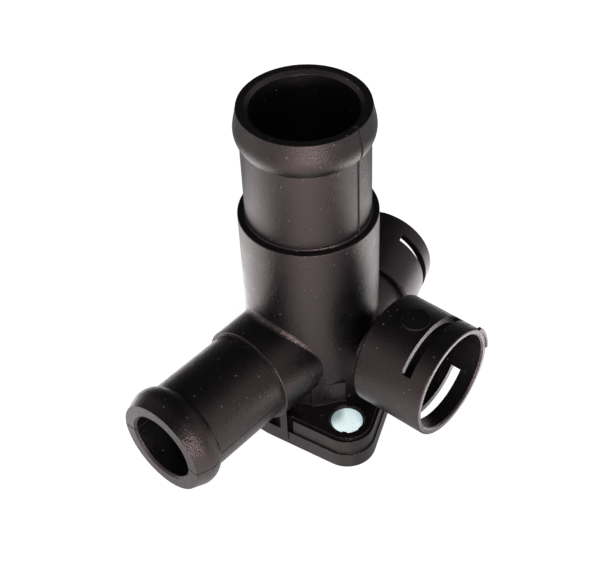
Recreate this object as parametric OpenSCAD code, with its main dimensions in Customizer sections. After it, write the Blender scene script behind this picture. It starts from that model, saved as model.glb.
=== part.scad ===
// Coolant flange: a one-piece moulded housing that bolts to a cylinder head.
// Coolant comes up through the mounting face into an upright riser. A side
// stub takes a smaller hose, and two clip-in sockets hold sensors.
// Frame: the origin is the centre of the mounting face, +Z runs up the riser
// and the two bolts lie along Y. Azimuths are counted from +X towards +Y.

/* [Mounting flange] */
// Distance between the two bolt centres
bolt_spacing = 49.6; // [47:0.1:56]
// Radius of the flange round each bolt
ear_r = 7.8; // [7:0.1:9]
// Radius of the round middle of the flange
plate_r = 23; // [21.5:0.1:26]
// Thickness of the base plate
plate_t = 4.9; // [3.5:0.1:7]
// Height of the bolt bosses above the mounting face
boss_h = 10.6; // [9:0.1:14]
// Step from the edge of the base plate in to the side of a boss
boss_step = 0.4; // [0.2:0.05:1]
// Half width of a boss, measured square to the bolt line
boss_half_w = 14.3; // [11:0.1:16]
// Rounding of the top edges of the bosses
boss_round = 0.8; // [0.3:0.1:1.2]

/* [Bolt sleeves] */
// Outer diameter of the metal sleeve moulded into each ear
sleeve_od = 9.9; // [9.2:0.1:10.6]
// Wall of the metal sleeve
sleeve_wall = 0.7; // [0.6:0.05:1.2]
// Depth of the sleeve's top end below the top of the boss
sleeve_sink = 0.6; // [0.3:0.1:1]
// How far each retaining nub reaches over the end of the sleeve
nub_reach = 0.55; // [0.3:0.05:0.6]
// Width of each retaining nub, as an angle about the bolt
nub_angle = 16; // [8:1:30]

/* [Seal groove] */
// Land between the riser's bore and the seal groove in the mounting face
seal_land = 1.5; // [1:0.1:1.8]
// Width of the seal groove
seal_w = 3; // [2.4:0.1:3.2]
// Depth of the seal groove
seal_depth = 2.4; // [1.5:0.1:3]

/* [Riser] */
// Height of the riser's mouth above the mounting face
riser_h = 97.1; // [90:0.1:110]
// Outer diameter of the riser's hose tube
riser_od = 32; // [31:0.1:34]
// Wall of the riser's hose tube, whose bore runs straight to the mounting face
riser_wall = 2.7; // [2.5:0.1:4]
// Rise of the mouth's edge above the hose tube
riser_mouth_rise = 0.2; // [0:0.05:0.6]
// Rise of the hose bead above the hose tube
riser_bead_rise = 1.25; // [1:0.05:2]
// Distance from the mouth to the widest place of the bead
riser_bead_peak = 5.7; // [4:0.1:6.5]
// Distance from the mouth to the lower edge of the bead
riser_bead_len = 9.3; // [8.5:0.1:12]
// Chamfer at the edge of the riser's bore
riser_chamfer = 1; // [0.4:0.1:1.5]
// Height of the shoulder where the thick trunk starts
shoulder_z = 65.2; // [58:0.1:75]
// Width of the shoulder, from the hose tube out to the trunk
shoulder_w = 1.9; // [1.6:0.1:3]
// Fillet between the hose tube and the shoulder
shoulder_fillet = 0.4; // [0.3:0.1:1.2]
// Rounding of the shoulder's outer edge
shoulder_round = 0.3; // [0.2:0.1:0.8]
// Fillet between the trunk and the base plate
root_fillet = 2; // [1:0.1:3]

/* [Hose stub] */
// Azimuth of the hose stub
stub_az = 208; // [203:1:213]
// Height of the stub's axis above the mounting face
stub_z = 24.4; // [24:0.1:30]
// Distance from the riser's axis to the stub's mouth
stub_len = 57.5; // [50:0.1:75]
// Outer diameter of the stub's hose tube
stub_od = 25.4; // [24:0.1:26.4]
// Wall of the stub's hose tube
stub_wall = 3.5; // [2.6:0.1:4.5]
// Rise of the mouth's edge above the hose tube
stub_mouth_rise = 0.1; // [0:0.05:0.6]
// Rise of the hose bead above the hose tube
stub_bead_rise = 1.6; // [1.2:0.05:2.2]
// Distance from the mouth to the widest place of the bead
stub_bead_peak = 4.9; // [4:0.1:5.5]
// Distance from the mouth to the inner edge of the bead
stub_bead_len = 8.7; // [8:0.1:11]
// Chamfer at the edge of the stub's bore
stub_chamfer = 0.6; // [0.3:0.1:1.2]
// Rise of the collar at the stub's root above the hose tube
collar_rise = 1.1; // [0.8:0.1:1.6]
// Distance from the riser's axis to the end of the collar
collar_len = 25.8; // [24:0.1:30]
// Rounding of the collar's edge
collar_round = 0.4; // [0.2:0.1:0.6]
// Fillet between the collar and the trunk
stub_fillet = 2.2; // [1:0.1:2.6]

/* [Sensor sockets] */
// Outer diameter of both sensor sockets
socket_od = 30.1; // [29.4:0.1:32]
// Wall of both sensor sockets
socket_wall = 1.85; // [1.5:0.05:2.2]
// Depth of the sensor's seat behind the mouth
seat_depth = 18.2; // [16:0.1:19]
// Chamfer inside the mouth
mouth_chamfer = 0.5; // [0.2:0.1:0.8]
// Distance from the mouth to the near side of a clip slot
slot_depth = 4.6; // [3.5:0.1:6]
// Width of a clip slot along the socket
slot_w = 2.8; // [1.8:0.1:3.4]
// Half of the angle that each clip slot covers
slot_half_angle = 54; // [45:1:60]
// Thickness of the floor behind each sensor's seat
socket_floor = 2.5; // [2:0.1:3.5]
// Rounding of the barrel's inner edge, where it steps down to the neck
barrel_round = 1.2; // [0.5:0.1:1.5]
// Rounding of the mouth's outer edge
mouth_round = 0.4; // [0.2:0.1:0.8]

/* [Front socket] */
// Azimuth of the front socket
front_az = 300; // [296:1:303]
// Height of the front socket's axis above the mounting face
front_z = 31.35; // [30:0.05:36]
// Distance from the riser's axis to the front socket's mouth
front_len = 45.9; // [42:0.1:55]
// Turn of the front socket's clip slots from its left side
front_slot_turn = 90; // [80:1:100]
// Outer diameter of the neck between the trunk and the front socket
front_neck_od = 16; // [15:0.1:17]
// Shift of the front neck to the left of the socket's axis
front_neck_shift = 5; // [4:0.1:5.5]
// Drop of the front neck below the socket's axis
front_neck_drop = 6.4; // [5:0.1:6.6]
// Fillet between the trunk and the front neck
front_neck_fillet = 1.5; // [0.8:0.1:2.5]
// Diameter of the hole from the front seat into the riser
front_throat_d = 9.6; // [8:0.1:10]
// Distance from the mouth to the centre of the round mark on the front socket
disc_back = 12; // [10:0.1:14]
// Turn of the round mark from the left side of the front socket
disc_turn = 90; // [80:1:100]
// Diameter of the round mark
disc_d = 7.3; // [5:0.1:9]
// How far the middle of the round mark stands out of the barrel
disc_proud = 0.2; // [0.1:0.05:0.6]

/* [Rear socket] */
// Azimuth of the rear socket
rear_az = 48.4; // [46:0.1:52]
// Height of the rear socket's axis above the mounting face
rear_z = 24.9; // [24.5:0.1:28]
// Distance from the riser's axis to the rear socket's mouth
rear_len = 32.6; // [31.5:0.1:38]
// Sideways shift of the rear socket's axis, to the right seen from the riser
rear_shift = 8.4; // [7:0.1:9]
// Turn of the rear socket's clip slots from its left side
rear_slot_turn = 176; // [165:1:190]
// Distance from the riser's axis to the inner end of the rear throat
rear_throat_start = 6; // [3:0.1:8]
// Diameter of the hole from the rear seat into the riser
rear_throat_d = 17; // [14:0.1:17.4]
// Outer diameter of the hub behind the rear socket, whose front end is a dome
hub_od = 26.8; // [25:0.1:28]
// Distance from the riser's axis to the centre of the hub's dome
hub_start = 2.5; // [0:0.1:5]

/* [Small forms on the trunk] */
// Azimuth that the flat pad above the front boss faces
pad_az = 262; // [254:1:268]
// Width of the flat pad
pad_w = 9.4; // [6:0.1:12]
// Height of the flat pad above the boss
pad_h = 7.3; // [5:0.1:9]
// How far the flat pad stands out of the trunk
pad_proud = 0.2; // [0.1:0.05:0.6]
// Gap between the front boss and the rib under the collar
rib_gap = 0.6; // [0.5:0.1:1.5]
// Thickness of the rib under the collar
rib_t = 1.3; // [1.2:0.1:2.5]
// How far the rib stands out of the edge of the base plate
rib_proud = 0.2; // [0.1:0.05:0.5]
// Height of the rib's foot above the mounting face
rib_foot = 1.5; // [0.5:0.1:3]

/* [Hidden] */
$fn = 128;
// Overshoot of cutters past the faces that they open
cut = 1;
// How far the thin edge of a crease fillet lies below the faces it joins
fillet_sink = 0.08;
// Stations round a crease fillet, and steps across its hollow
fillet_stations = 48;
fillet_steps = 6;
// Azimuths of the retaining nubs about each bolt
NUB_AZ = [60, 120, 240, 300];

ear_y = bolt_spacing / 2;
sleeve_h = boss_h - sleeve_sink;
riser_r = riser_od / 2;
bore_r = riser_r - riser_wall;
trunk_r = riser_r + shoulder_w;
stub_r = stub_od / 2;
stub_bore_r = stub_r - stub_wall;
collar_r = stub_r + collar_rise;
socket_r = socket_od / 2;
seat_r = socket_r - socket_wall;
barrel_len = seat_depth + socket_floor;
// Angle of the outline's straight edges, and how far in the bosses' rounding reaches
edge_slope = asin((plate_r - ear_r) / ear_y);
round_inset = boss_step + boss_round;

// The flange's outline: a round middle and two ears joined by tangents.
// inset moves the whole outline inwards.
module outline(inset = 0) {
    big = plate_r - inset;
    small = ear_r - inset;
    circle(r = big);
    for (side = [-1, 1]) {
        translate([0, side * ear_y]) circle(r = small);
        polygon([
            [big * cos(edge_slope), side * big * sin(edge_slope)],
            [small * cos(edge_slope), side * (ear_y + small * sin(edge_slope))],
            [-small * cos(edge_slope), side * (ear_y + small * sin(edge_slope))],
            [-big * cos(edge_slope), side * big * sin(edge_slope)]
        ]);
    }
}

// Puts its children on a level branch: local Z runs out along the branch,
// local X to its left and local Y up.
module on_branch(az, z, shift = 0) {
    rotate([0, 0, az]) translate([0, -shift, z]) rotate([90, 0, 90]) children();
}

// Half section of a hose bead, with the mouth at height 0 and the tube below
module bead_section(tube_r, mouth_rise, rise, peak, length) {
    mouth_r = tube_r + mouth_rise;
    bead_r = tube_r + rise;
    drop = length - peak;
    arc_r = (drop * drop + rise * rise) / (2 * rise);
    centre_x = bead_r - arc_r;
    // The tangent from the mouth's edge to the bead's arc
    dx = mouth_r - centre_x;
    reach = sqrt(dx * dx + peak * peak);
    turn = atan2(peak, dx) - acos(arc_r / reach);
    difference() {
        union() {
            intersection() {
                translate([centre_x, -peak]) circle(r = arc_r);
                translate([0, -length]) square([bead_r + cut, length - peak + arc_r * sin(turn)]);
            }
            polygon([
                [0, -peak],
                [0, 0],
                [mouth_r, 0],
                [centre_x + arc_r * cos(turn), -peak + arc_r * sin(turn)],
                [centre_x + arc_r * cos(turn), -peak]
            ]);
        }
        // Keeps the half section on its own side of the axis
        translate([-2 * arc_r, -2 * arc_r]) square([2 * arc_r, 4 * arc_r]);
    }
}

// A hollow fillet where a level branch of radius r leaves the upright trunk.
// shift moves the branch to its left of the trunk's axis.
module crease_fillet(az, z, r, fillet, shift = 0) {
    gap = fillet - fillet_sink;
    function centre(a) =
        let (y = (r + gap) * cos(a) + shift)
        [sqrt(pow(trunk_r + gap, 2) - y * y), y, z + (r + gap) * sin(a)];
    function core(a) =
        let (y = (r - fillet) * cos(a) + shift)
        [sqrt(pow(trunk_r - fillet, 2) - y * y), y, z + (r - fillet) * sin(a)];
    function hollow(a, t) =
        let (
            c = centre(a),
            to_trunk = [-c.x, -c.y, 0] / (trunk_r + gap),
            to_branch = [0, -cos(a), -sin(a)],
            spread = acos(to_trunk * to_branch)
        )
        c + fillet * (sin((1 - t) * spread) * to_trunk + sin(t * spread) * to_branch) / sin(spread);
    ring = fillet_steps + 2;
    points = [
        for (i = [0:fillet_stations - 1])
            let (a = 360 * i / fillet_stations)
            for (p = concat([core(a)], [for (k = [0:fillet_steps]) hollow(a, k / fillet_steps)])) p
    ];
    function at(i, k) = (i % fillet_stations) * ring + k % ring;
    faces = [
        for (i = [0:fillet_stations - 1], k = [0:ring - 1])
            for (f = [
                [at(i, k), at(i, k + 1), at(i + 1, k + 1)],
                [at(i, k), at(i + 1, k + 1), at(i + 1, k)]
            ]) f
    ];
    rotate([0, 0, az]) polyhedron(points, faces);
}

// The outline moved inwards and cut to the width of the bosses
module boss_outline(inset, narrow) {
    intersection() {
        outline(inset);
        square([2 * (boss_half_w - narrow), bolt_spacing + 4 * ear_r], center = true);
    }
}

// Base plate and the two bolt bosses, whose top edges and corners are rounded
module flange_plate() {
    corner_x = boss_half_w - boss_round;
    corner_y = (plate_r - round_inset - corner_x * cos(edge_slope)) / sin(edge_slope);
    small = ear_r - round_inset;
    edge = norm([corner_x - small * cos(edge_slope), ear_y + small * sin(edge_slope) - corner_y]);
    linear_extrude(plate_t) outline();
    linear_extrude(boss_h - boss_round) {
        boss_outline(boss_step, boss_round);
        boss_outline(round_inset, 0);
    }
    linear_extrude(boss_h) boss_outline(round_inset, boss_round);
    for (x = [0, 1], y = [0, 1]) mirror([x, 0, 0]) mirror([0, y, 0]) {
        translate([corner_x, corner_y, 0]) cylinder(h = boss_h - boss_round, r = boss_round);
        translate([corner_x, corner_y, boss_h - boss_round]) {
            sphere(r = boss_round);
            rotate([90, 0, 0]) cylinder(h = corner_y, r = boss_round);
            rotate([-90, 0, edge_slope]) cylinder(h = edge, r = boss_round);
        }
    }
    for (side = [-1, 1]) translate([0, side * ear_y, boss_h - boss_round])
        rotate_extrude() translate([small, 0]) circle(r = boss_round);
}

// Everything solid on the trunk's axis: trunk, shoulder, hose tube and bead
module riser_solid() {
    rotate_extrude() difference() {
        union() {
            square([riser_r, riser_h - riser_bead_peak]);
            square([trunk_r, shoulder_z - shoulder_round]);
            square([trunk_r - shoulder_round, shoulder_z]);
            translate([trunk_r - shoulder_round, shoulder_z - shoulder_round]) circle(r = shoulder_round);
            square([riser_r + shoulder_fillet, shoulder_z + shoulder_fillet]);
            translate([0, riser_h])
                bead_section(riser_r, riser_mouth_rise, riser_bead_rise, riser_bead_peak, riser_bead_len);
            square([trunk_r + root_fillet, plate_t + root_fillet]);
        }
        translate([riser_r + shoulder_fillet, shoulder_z + shoulder_fillet]) circle(r = shoulder_fillet);
        translate([trunk_r + root_fillet, plate_t + root_fillet]) circle(r = root_fillet);
    }
}

// Stub with its collar and bead
module stub_solid() {
    on_branch(stub_az, stub_z) rotate_extrude() {
        square([stub_r, stub_len - stub_bead_peak]);
        square([collar_r, collar_len - collar_round]);
        square([collar_r - collar_round, collar_len]);
        translate([collar_r - collar_round, collar_len - collar_round]) circle(r = collar_round);
        translate([0, stub_len])
            bead_section(stub_r, stub_mouth_rise, stub_bead_rise, stub_bead_peak, stub_bead_len);
    }
}

// Barrel of a sensor socket behind its mouth, with both edges rounded
module socket_barrel(mouth) {
    translate([0, 0, mouth - barrel_len]) rotate_extrude() {
        translate([0, barrel_round]) square([socket_r, barrel_len - barrel_round - mouth_round]);
        square([socket_r - barrel_round, barrel_round]);
        translate([0, barrel_round]) square([socket_r - mouth_round, barrel_len - barrel_round]);
        translate([socket_r - barrel_round, barrel_round]) circle(r = barrel_round);
        translate([socket_r - mouth_round, barrel_len - mouth_round]) circle(r = mouth_round);
    }
}

// Seat and clip slots of a sensor socket behind its mouth
module socket_cuts(mouth, turn) {
    translate([0, 0, mouth - seat_depth]) cylinder(h = seat_depth + cut, r = seat_r);
    translate([0, 0, mouth - mouth_chamfer])
        cylinder(h = 2 * mouth_chamfer, r1 = seat_r, r2 = seat_r + 2 * mouth_chamfer);
    for (side = [0, 180])
        rotate([0, 0, turn + side - slot_half_angle]) rotate_extrude(angle = 2 * slot_half_angle)
            translate([seat_r - cut, mouth - slot_depth - slot_w])
                square([socket_wall + 2 * cut, slot_w]);
}

module front_socket_solid() {
    on_branch(front_az, front_z) {
        socket_barrel(front_len);
        translate([front_neck_shift, -front_neck_drop, 0])
            cylinder(h = front_len - barrel_len + barrel_round, d = front_neck_od);
        translate([0, 0, front_len - disc_back]) rotate([0, 90, disc_turn])
            cylinder(h = socket_r + disc_proud, d = disc_d);
    }
}

module rear_socket_solid() {
    on_branch(rear_az, rear_z, rear_shift) {
        socket_barrel(rear_len);
        translate([0, 0, hub_start]) {
            sphere(d = hub_od);
            cylinder(h = rear_len - seat_depth - hub_start, d = hub_od);
        }
    }
}

// Flat pad on the trunk above the front boss
module trunk_pad() {
    rotate([0, 0, pad_az]) translate([0, -pad_w / 2, 0])
        cube([trunk_r + pad_proud, pad_w, boss_h + pad_h]);
}

// Rib that carries the stub's collar, in front of the edge of the base plate
module collar_rib() {
    intersection() {
        linear_extrude(stub_z) outline(-rib_proud);
        translate([-boss_half_w - rib_gap - rib_t, -plate_r - rib_proud, rib_foot])
            cube([rib_t, plate_r + rib_proud, stub_z - rib_foot]);
    }
}

// Holes that hold the metal sleeves, with the nubs left standing over them
module sleeve_pockets() {
    for (side = [-1, 1]) translate([0, side * ear_y, 0]) difference() {
        translate([0, 0, -cut]) cylinder(h = boss_h + 2 * cut, d = sleeve_od);
        for (az = NUB_AZ) rotate([0, 0, az - nub_angle / 2]) rotate_extrude(angle = nub_angle)
            translate([sleeve_od / 2 - nub_reach, sleeve_h]) square([nub_reach + cut, sleeve_sink]);
    }
}

// Coolant passages, bore chamfers and the seal groove
module passages() {
    translate([0, 0, -cut]) cylinder(h = riser_h + 2 * cut, r = bore_r);
    translate([0, 0, riser_h - riser_chamfer])
        cylinder(h = 2 * riser_chamfer, r1 = bore_r, r2 = bore_r + 2 * riser_chamfer);
    on_branch(stub_az, stub_z) {
        cylinder(h = stub_len + cut, r = stub_bore_r);
        translate([0, 0, stub_len - stub_chamfer])
            cylinder(h = 2 * stub_chamfer, r1 = stub_bore_r, r2 = stub_bore_r + 2 * stub_chamfer);
    }
    on_branch(front_az, front_z) {
        socket_cuts(front_len, front_slot_turn);
        translate([front_neck_shift, -front_neck_drop, 0]) cylinder(h = front_len - cut, d = front_throat_d);
    }
    on_branch(rear_az, rear_z, rear_shift) {
        socket_cuts(rear_len, rear_slot_turn);
        translate([0, 0, rear_throat_start]) cylinder(h = rear_len - rear_throat_start - cut, d = rear_throat_d);
    }
    translate([0, 0, -cut]) difference() {
        cylinder(h = seal_depth + cut, r = bore_r + seal_land + seal_w);
        cylinder(h = seal_depth + cut, r = bore_r + seal_land);
    }
}

module flange_body() {
    color([0.13, 0.125, 0.125]) difference() {
        union() {
            flange_plate();
            riser_solid();
            stub_solid();
            front_socket_solid();
            rear_socket_solid();
            crease_fillet(stub_az, stub_z, collar_r, stub_fillet);
            crease_fillet(front_az, front_z - front_neck_drop, front_neck_od / 2, front_neck_fillet,
                front_neck_shift);
            trunk_pad();
            collar_rib();
        }
        passages();
        sleeve_pockets();
    }
}

// Metal compression sleeve of one bolt
module bolt_sleeve(side) {
    color([0.8, 0.81, 0.8]) translate([0, side * ear_y, 0]) difference() {
        cylinder(h = sleeve_h, d = sleeve_od);
        translate([0, 0, -cut]) cylinder(h = sleeve_h + 2 * cut, r = sleeve_od / 2 - sleeve_wall);
    }
}

module bolt_sleeve_front() { bolt_sleeve(-1); }

module bolt_sleeve_rear() { bolt_sleeve(1); }

flange_body();
bolt_sleeve_front();
bolt_sleeve_rear();
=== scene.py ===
# %% [markdown]
# A moulded coolant flange
#
# This part bolts to the side of an engine. Coolant comes up through the base
# into the upright pipe, a smaller pipe leaves at the side, and two short
# sockets hold clipped-in sensors. It is one black moulding of nylon filled
# with glass fibre, with a steel sleeve in each bolt ear.
#
# The solid model already has the right shape, so this lesson is about light
# and surface: satin plastic shows almost only what it reflects.

# %% Load the model
import bpy
import math
from mathutils import Matrix, Vector


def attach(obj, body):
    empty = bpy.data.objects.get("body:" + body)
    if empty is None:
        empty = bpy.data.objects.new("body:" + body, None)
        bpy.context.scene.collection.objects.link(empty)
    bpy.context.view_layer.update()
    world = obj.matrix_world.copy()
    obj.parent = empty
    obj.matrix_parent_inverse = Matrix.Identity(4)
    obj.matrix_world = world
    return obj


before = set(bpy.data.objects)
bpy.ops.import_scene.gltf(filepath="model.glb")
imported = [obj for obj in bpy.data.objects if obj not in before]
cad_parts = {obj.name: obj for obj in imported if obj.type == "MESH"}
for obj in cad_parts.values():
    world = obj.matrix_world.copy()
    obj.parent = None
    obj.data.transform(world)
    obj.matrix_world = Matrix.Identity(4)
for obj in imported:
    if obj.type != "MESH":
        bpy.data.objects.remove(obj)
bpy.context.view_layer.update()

print("nodes:", sorted(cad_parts))

# %% [markdown]
# The camera
#
# The photograph looks down at 44 degrees, with a slight roll. The distance
# and the focal length come from a fit to the round mouths and the bolt ear,
# so they reproduce the perspective too. Two small offsets say how far the
# foot of the upright pipe lies from the middle of the picture.

# %% Camera
ELEVATION = math.radians(44.367)
ROLL = math.radians(-2.86)
TURN = math.radians(-18.2)
DISTANCE = 0.3626
FOOT_RIGHT = 0.00439
FOOT_UP = -0.02535
LENS_MM = 75.85


def camera_axes():
    """Right, up and forward of the camera in the frame of the part."""
    forward = Vector((0, math.cos(ELEVATION), -math.sin(ELEVATION)))
    level_right = Vector((1, 0, 0))
    level_up = Vector((0, math.sin(ELEVATION), math.cos(ELEVATION)))
    right = level_right * math.cos(ROLL) + level_up * math.sin(ROLL)
    up = level_up * math.cos(ROLL) - level_right * math.sin(ROLL)
    spin = Matrix.Rotation(TURN, 3, "Z")
    return spin @ right, spin @ up, spin @ forward


right, up, forward = camera_axes()
place = -(right * FOOT_RIGHT + up * FOOT_UP + forward * DISTANCE)
camera = bpy.data.objects.new("camera", bpy.data.cameras.new("camera"))
bpy.context.scene.collection.objects.link(camera)
camera.matrix_world = Matrix((right, up, -forward)).transposed().to_4x4()
camera.location = place
camera.data.sensor_width = 36
camera.data.lens = LENS_MM
camera.data.clip_start = 0.01
bpy.context.scene.camera = camera
print("camera at", [round(v, 4) for v in place])

# %% [markdown]
# Small helpers for shader nodes
#
# A procedural material is a little graph. These helpers add a node with its
# values and join it to what feeds it, so that each finish below reads as a
# short recipe.

# %% Shader helpers


def new_material(name):
    """An empty material with its output node."""
    material = bpy.data.materials.new(name)
    material.use_nodes = True
    material.node_tree.nodes.clear()
    return material, material.node_tree.nodes.new("ShaderNodeOutputMaterial")


def add(tree, kind, feeds=(), **values):
    """Adds a node, sets its properties, and links or sets its inputs."""
    node = tree.nodes.new(kind)
    for key, value in values.items():
        setattr(node, key, value)
    for socket, source in feeds:
        if isinstance(source, bpy.types.NodeSocket):
            tree.links.new(source, node.inputs[socket])
        else:
            node.inputs[socket].default_value = source
    return node


def math_node(tree, operation, a, b=0.0, clamp=False):
    """One step of arithmetic on numbers or sockets."""
    node = add(tree, "ShaderNodeMath", ((0, a), (1, b)), operation=operation)
    node.use_clamp = clamp
    return node.outputs[0]


def ramp(tree, value, low, high, out_low=0.0, out_high=1.0):
    """Maps low..high smoothly onto out_low..out_high."""
    node = add(tree, "ShaderNodeMapRange",
               (("Value", value), ("From Min", low), ("From Max", high),
                ("To Min", out_low), ("To Max", out_high)),
               interpolation_type="SMOOTHSTEP")
    return node.outputs["Result"]


def object_position(tree):
    """Position on the part, in metres from the centre of its foot."""
    coords = add(tree, "ShaderNodeTexCoord").outputs["Object"]
    return add(tree, "ShaderNodeMapping", (("Vector", coords),)).outputs["Vector"]


# %% [markdown]
# Black satin nylon
#
# The real surface is nearly black, with a fine grain from the mould, pale
# specks where glass fibres reach the skin, and slow changes of gloss where
# the melt flowed. The grain is a bump and not a colour, because plastic is
# one colour right through. The mould halves leave two witness lines: one
# runs up the tall pipe in the plane of the front socket, and one runs along
# the side pipe at the height of its axis.

# %% Sizes of the witness lines
SEAM_AZIMUTH = math.radians(300)
SEAM_HALF_WIDTH = 0.0005
SIDE_LINE_HALF_WIDTH = 0.00026
SIDE_PIPE_AZIMUTH = math.radians(208)
SIDE_PIPE_HEIGHT = 0.0242
SIDE_PIPE_FROM = 0.0265


def witness_lines(tree, position):
    """1 on the witness lines of the mould, 0 elsewhere."""
    parts = add(tree, "ShaderNodeSeparateXYZ", (("Vector", position),)).outputs

    def along(azimuth):
        x = math_node(tree, "MULTIPLY", parts["X"], math.cos(azimuth))
        y = math_node(tree, "MULTIPLY", parts["Y"], math.sin(azimuth))
        return math_node(tree, "ADD", x, y)

    def thin(distance, half_width):
        size = math_node(tree, "ABSOLUTE", distance)
        return ramp(tree, size, half_width, 0.4 * half_width)

    on_seam = thin(along(SEAM_AZIMUTH + math.pi / 2), SEAM_HALF_WIDTH)
    high = ramp(tree, parts["Z"], 0.0655, 0.0675)
    outside = ramp(tree, along(SEAM_AZIMUTH), 0.0148, 0.0152)
    tall = math_node(tree, "MULTIPLY", math_node(tree, "MULTIPLY", on_seam, high), outside)

    level = thin(math_node(tree, "SUBTRACT", parts["Z"], SIDE_PIPE_HEIGHT), SIDE_LINE_HALF_WIDTH)
    out = ramp(tree, along(SIDE_PIPE_AZIMUTH), SIDE_PIPE_FROM, SIDE_PIPE_FROM + 0.001)
    side = math_node(tree, "MULTIPLY", level, out)
    return math_node(tree, "MAXIMUM", tall, side)


# %% Black nylon
def black_nylon():
    material, output = new_material("satin black nylon")
    tree = material.node_tree
    position = object_position(tree)

    grain = add(tree, "ShaderNodeTexNoise",
                (("Vector", position), ("Scale", 3000.0), ("Detail", 2.0), ("Roughness", 0.55)))
    flow = add(tree, "ShaderNodeTexNoise",
               (("Vector", position), ("Scale", 160.0), ("Detail", 4.0), ("Roughness", 0.55)))
    cells = add(tree, "ShaderNodeTexVoronoi",
                (("Vector", position), ("Scale", 850.0), ("Randomness", 1.0)))
    pick = add(tree, "ShaderNodeSeparateColor", (("Color", cells.outputs["Color"]),)).outputs[0]
    chosen = ramp(tree, pick, 0.6, 1.0)
    chosen = math_node(tree, "MULTIPLY", chosen, chosen)
    dot = ramp(tree, cells.outputs["Distance"], 0.17, 0.06)
    speck = math_node(tree, "MULTIPLY", chosen, dot)
    lines = witness_lines(tree, position)

    skin = add(tree, "ShaderNodeMix",
               (("Factor", flow.outputs["Fac"]), (6, (0.0026, 0.0029, 0.003, 1)),
                (7, (0.005, 0.0054, 0.0055, 1))), data_type="RGBA")
    speckled = add(tree, "ShaderNodeMix",
                   (("Factor", math_node(tree, "MULTIPLY", speck, 0.8)), (6, skin.outputs[2]),
                    (7, (0.32, 0.3, 0.3, 1))), data_type="RGBA")
    lined = add(tree, "ShaderNodeMix",
                (("Factor", lines), (6, speckled.outputs[2]), (7, (0.003, 0.0028, 0.0028, 1))),
                data_type="RGBA")

    gloss = ramp(tree, flow.outputs["Fac"], 0.3, 0.7, 0.26, 0.34)
    rough = math_node(tree, "ADD", gloss, math_node(tree, "MULTIPLY", lines, 0.6), clamp=True)
    height = math_node(tree, "ADD", grain.outputs["Fac"],
                       math_node(tree, "MULTIPLY", flow.outputs["Fac"], 0.15))
    height = math_node(tree, "SUBTRACT", height, math_node(tree, "MULTIPLY", lines, 7.0))
    worn = add(tree, "ShaderNodeBevel", (("Radius", 0.00022),), samples=6)
    bump = add(tree, "ShaderNodeBump",
               (("Strength", 0.8), ("Distance", 0.00015), ("Height", height),
                ("Normal", worn.outputs["Normal"])))

    shader = add(tree, "ShaderNodeBsdfPrincipled",
                 (("Base Color", lined.outputs[2]), ("Roughness", rough),
                  ("Normal", bump.outputs["Normal"]), ("IOR", 1.62),
                  ("Specular Tint", (1.0, 0.72, 0.74, 1))))
    tree.links.new(shader.outputs[0], output.inputs["Surface"])
    return material


NYLON = black_nylon()
print("made", NYLON.name)

# %% [markdown]
# Bright zinc-plated steel
#
# The sleeves stop the nylon from being crushed by the bolts. They are turned
# from tube and plated, so they are bright, faintly blue, and carry fine
# turning rings. A noise that is stretched flat across the axis gives rings
# without a single texture image.

# %% Plated steel


def plated_steel():
    material, output = new_material("bright zinc plated steel")
    tree = material.node_tree
    coords = add(tree, "ShaderNodeTexCoord").outputs["Object"]
    rings = add(tree, "ShaderNodeMapping", (("Vector", coords), ("Scale", (60.0, 60.0, 9000.0))))
    turning = add(tree, "ShaderNodeTexNoise",
                  (("Vector", rings.outputs[0]), ("Scale", 1.0), ("Detail", 2.0)))
    cloud = add(tree, "ShaderNodeTexNoise",
                (("Vector", coords), ("Scale", 2400.0), ("Detail", 2.0)))
    tone = add(tree, "ShaderNodeMix",
               (("Factor", cloud.outputs["Fac"]), (6, (0.62, 0.76, 0.79, 1)),
                (7, (0.76, 0.83, 0.83, 1))), data_type="RGBA")
    rough = ramp(tree, cloud.outputs["Fac"], 0.3, 0.7, 0.2, 0.34)
    bump = add(tree, "ShaderNodeBump",
               (("Strength", 0.25), ("Distance", 0.00001), ("Height", turning.outputs["Fac"])))
    shader = add(tree, "ShaderNodeBsdfPrincipled",
                 (("Base Color", tone.outputs[2]), ("Metallic", 1.0), ("Roughness", rough),
                  ("Normal", bump.outputs["Normal"])))
    tree.links.new(shader.outputs[0], output.inputs["Surface"])
    return material


STEEL = plated_steel()
print("made", STEEL.name)

# %% Give each node its finish
FINISH = {"flange_body": NYLON, "bolt_sleeve_front": STEEL, "bolt_sleeve_rear": STEEL}
for name, finish in FINISH.items():
    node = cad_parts[name]
    node.data.materials.clear()
    node.data.materials.append(finish)
    print(name, len(node.data.polygons), "faces,", finish.name)

# %% [markdown]
# A sliver of flash
#
# On the far side of the front socket's mouth the mould did not close fully,
# and a thin sliver of plastic stands out of the wall behind the rim. It is a
# small round profile that is swept a short way round the socket's axis.

# %% Flash on the front socket
import bmesh

SOCKET_AZIMUTH = math.radians(300)
SOCKET_HEIGHT = 0.03135
MOUTH_REACH = 0.0459
BARREL_RADIUS = 0.01505
FLASH_BACK = 0.0001
FLASH_FROM, FLASH_TO = math.radians(2), math.radians(44)


def socket_frame():
    """Left, up and outward axes of the front socket, placed at its mouth."""
    out = Vector((math.cos(SOCKET_AZIMUTH), math.sin(SOCKET_AZIMUTH), 0))
    left = Vector((-out.y, out.x, 0))
    frame_axes = Matrix((left, Vector((0, 0, 1)), out)).transposed().to_4x4()
    mouth = out * MOUTH_REACH + Vector((0, 0, SOCKET_HEIGHT))
    return Matrix.Translation(mouth) @ frame_axes


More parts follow.
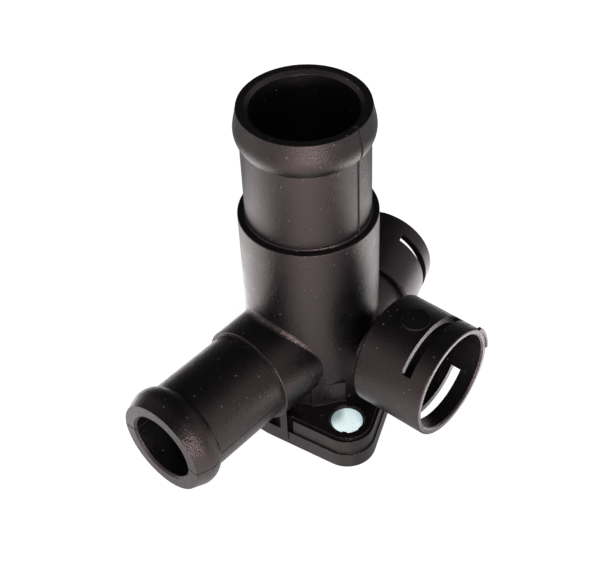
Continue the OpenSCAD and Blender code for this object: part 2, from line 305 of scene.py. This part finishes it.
def flash():
    mesh = bmesh.new()
    bmesh.ops.create_circle(mesh, segments=10, radius=0.00048)
    bmesh.ops.rotate(mesh, verts=mesh.verts, matrix=Matrix.Rotation(math.pi / 2, 3, "X"))
    bmesh.ops.translate(mesh, verts=mesh.verts, vec=(BARREL_RADIUS, 0, -FLASH_BACK))
    bmesh.ops.rotate(mesh, verts=mesh.verts, matrix=Matrix.Rotation(FLASH_FROM, 3, "Z"))
    bmesh.ops.spin(mesh, geom=mesh.edges[:] + mesh.verts[:], axis=(0, 0, 1), cent=(0, 0, 0),
                   angle=FLASH_TO - FLASH_FROM, steps=14)
    rims = [edge for edge in mesh.edges if edge.is_boundary]
    bmesh.ops.holes_fill(mesh, edges=rims)
    bmesh.ops.recalc_face_normals(mesh, faces=mesh.faces)
    mesh.transform(socket_frame())
    data = bpy.data.meshes.new("flash")
    mesh.to_mesh(data)
    mesh.free()
    data.materials.append(NYLON)
    piece = bpy.data.objects.new("mould_flash", data)
    bpy.context.scene.collection.objects.link(piece)
    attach(piece, "root")
    return piece


sliver = flash()
print(sliver.name, len(sliver.data.polygons), "faces,",
      [round(1000 * v, 2) for v in sliver.dimensions], "mm")

# %% [markdown]
# Floor and backdrop
#
# The photograph is cut out on pure white. The floor is white to the camera.
# In mirror rays it glows with painted reflections: bright zones low in front,
# at the sides, in a strip in front to the right and under the front bolt ear
# paint highlights onto the part, and a painted fade to dark far behind it, as
# in a dim room, keeps the upper edges of the side pipe and the sockets dark.
# Diffuse light sees a plain pale floor, so the part keeps a soft shadow.

# %% White floor with painted reflections
BACK = Vector((math.cos(math.radians(71)), math.sin(math.radians(71)), 0))
SIDE = Vector((BACK.y, -BACK.x, 0))
FRONT_BOLT = (0, -0.0248, 0)


def reach(tree, vector, way):
    """How far a point or direction reaches along a level way."""
    node = add(tree, "ShaderNodeVectorMath", ((0, vector), (1, way)), operation="DOT_PRODUCT")
    return node.outputs["Value"]


def floor_with_painted_reflections():
    material, output = new_material("pale floor")
    tree = material.node_tree
    path = add(tree, "ShaderNodeLightPath").outputs
    place = object_position(tree)
    back = reach(tree, place, BACK)
    right = reach(tree, place, SIDE)
    aside = math_node(tree, "ABSOLUTE", right)
    radius = add(tree, "ShaderNodeVectorMath", ((0, place),), operation="LENGTH").outputs["Value"]
    to_bolt = add(tree, "ShaderNodeVectorMath", ((0, place), (1, FRONT_BOLT)), operation="DISTANCE")
    # Painted reflections: these zones make the floor glow in mirror rays only, brightest low in
    # front, at the sides and in a strip in front to the right, and so paint highlights onto the part.
    ahead = math_node(tree, "ADD", ramp(tree, back, -0.03, -0.08, 0.0, 0.6),
                      ramp(tree, back, -0.1, -0.2, 0.0, 1.2))
    ahead = math_node(tree, "MULTIPLY", ahead, ramp(tree, aside, 0.15, 0.07))
    flank = math_node(tree, "MAXIMUM", ramp(tree, aside, 0.03, 0.07), ramp(tree, back, 0.0, 0.03))
    flank = math_node(tree, "MULTIPLY", flank, ramp(tree, radius, 0.17, 0.07, 0.0, 1.9))
    fore = math_node(tree, "MULTIPLY", ramp(tree, back, -0.065, -0.035),
                     ramp(tree, right, 0.04, 0.06))
    fore = math_node(tree, "MAXIMUM", fore, ramp(tree, back, -0.045, -0.01))
    flank = math_node(tree, "MULTIPLY", flank, fore)
    painted_glow_strip = math_node(tree, "MULTIPLY", ramp(tree, right, 0.045, 0.058), ramp(tree, right, 0.1, 0.085))
    painted_glow_strip = math_node(tree, "MULTIPLY", painted_glow_strip, ramp(tree, back, -0.062, -0.047))
    painted_glow_strip = math_node(tree, "MULTIPLY", painted_glow_strip, ramp(tree, back, 0.0, -0.015, 0.0, 2.2))
    flank = math_node(tree, "ADD", flank, painted_glow_strip)
    # Painted reflection seen inside the front steel sleeve: the floor glows brightest under the front
    # bolt hole and dimmer towards the right.
    under = ramp(tree, to_bolt.outputs["Value"], 0.006, 0.005, 0.4, 1.0)
    under = math_node(tree, "MULTIPLY", under, ramp(tree, right, 0.0085, 0.0115, 1.0, 0.35))
    white = math_node(tree, "ADD", math_node(tree, "ADD", ahead, under), flank)
    # The painted reflection fades to dark towards the back.
    painted_reflection = math_node(tree, "MULTIPLY", white, ramp(tree, back, 0.03, 0.085, 1.0, 0.04))
    seen = math_node(tree, "MULTIPLY", path["Is Camera Ray"], 0.8)
    mirrored = math_node(tree, "MULTIPLY", path["Is Glossy Ray"], painted_reflection)
    seen = math_node(tree, "MAXIMUM", seen, mirrored)
    seen = math_node(tree, "MAXIMUM", seen, path["Is Transmission Ray"])
    matte = add(tree, "ShaderNodeBsdfDiffuse", (("Color", (0.62, 0.62, 0.62, 1)),))
    glow = add(tree, "ShaderNodeEmission", (("Color", (1, 1, 1, 1)), ("Strength", seen)))
    both = add(tree, "ShaderNodeAddShader", ((0, matte.outputs[0]), (1, glow.outputs[0])))
    tree.links.new(both.outputs[0], output.inputs["Surface"])
    return material


bpy.ops.mesh.primitive_plane_add(size=6)
floor = bpy.context.object
floor.name = "floor"
floor.data.materials.append(floor_with_painted_reflections())
print("floor", floor.dimensions[:])

# %% [markdown]
# The room
#
# Up-facing plastic is almost black in the photograph and upright plastic is
# grey, so the room is dark above and behind, and bright low in front and at
# the sides. The strength of the world falls with height and towards the back.

# %% World


def tent_world():
    world = bpy.data.worlds.new("light tent")
    bpy.context.scene.world = world
    world.use_nodes = True
    tree = world.node_tree
    tree.nodes.clear()
    output = tree.nodes.new("ShaderNodeOutputWorld")
    direction = add(tree, "ShaderNodeTexCoord").outputs["Generated"]
    height = add(tree, "ShaderNodeSeparateXYZ", (("Vector", direction),)).outputs["Z"]
    wall = ramp(tree, height, 0.45, 0.85, 0.75, 0.02)
    front = ramp(tree, reach(tree, direction, BACK), 0.0, 0.8, 1.0, 0.06)
    room = math_node(tree, "MULTIPLY", wall, front)
    path = add(tree, "ShaderNodeLightPath").outputs
    strength = math_node(tree, "MAXIMUM", room, path["Is Camera Ray"])
    sky = add(tree, "ShaderNodeBackground", (("Color", (1, 1, 1, 1)), ("Strength", strength)))
    tree.links.new(sky.outputs[0], output.inputs["Surface"])


tent_world()

# %% [markdown]
# Lamps
#
# Two broad lamps that mirror rays do not see give the plain level of light.
# One low softbox in front is seen in reflections: it draws the thin bright
# streaks in the creases of the side pipe and the front socket.

# %% Lamps


def panel(name, azimuth, elevation, distance, size, power, glossy=True, colour=(1, 1, 1)):
    """A soft rectangular lamp that faces the part."""
    data = bpy.data.lights.new(name, "AREA")
    data.shape = "RECTANGLE"
    data.size, data.size_y = size
    data.energy = power
    data.color = colour
    lamp = bpy.data.objects.new(name, data)
    bpy.context.scene.collection.objects.link(lamp)
    a, e = math.radians(azimuth), math.radians(elevation)
    away = Vector((math.cos(e) * math.cos(a), math.cos(e) * math.sin(a), math.sin(e)))
    lamp.location = away * distance + Vector((0, 0, 0.04))
    lamp.rotation_euler = away.to_track_quat("Z", "Y").to_euler()
    lamp.visible_glossy = glossy
    return lamp


panel("top fill", 250, 75, 1.2, (0.9, 0.9), 4.0, glossy=False)
panel("front fill", 252, 12, 1.0, (1.4, 0.35), 2.0, glossy=False)
panel("low softbox", 260, 10, 1.0, (0.4, 0.12), 5.6)

# %% Picture settings
scene = bpy.context.scene
scene.view_settings.view_transform = "Standard"
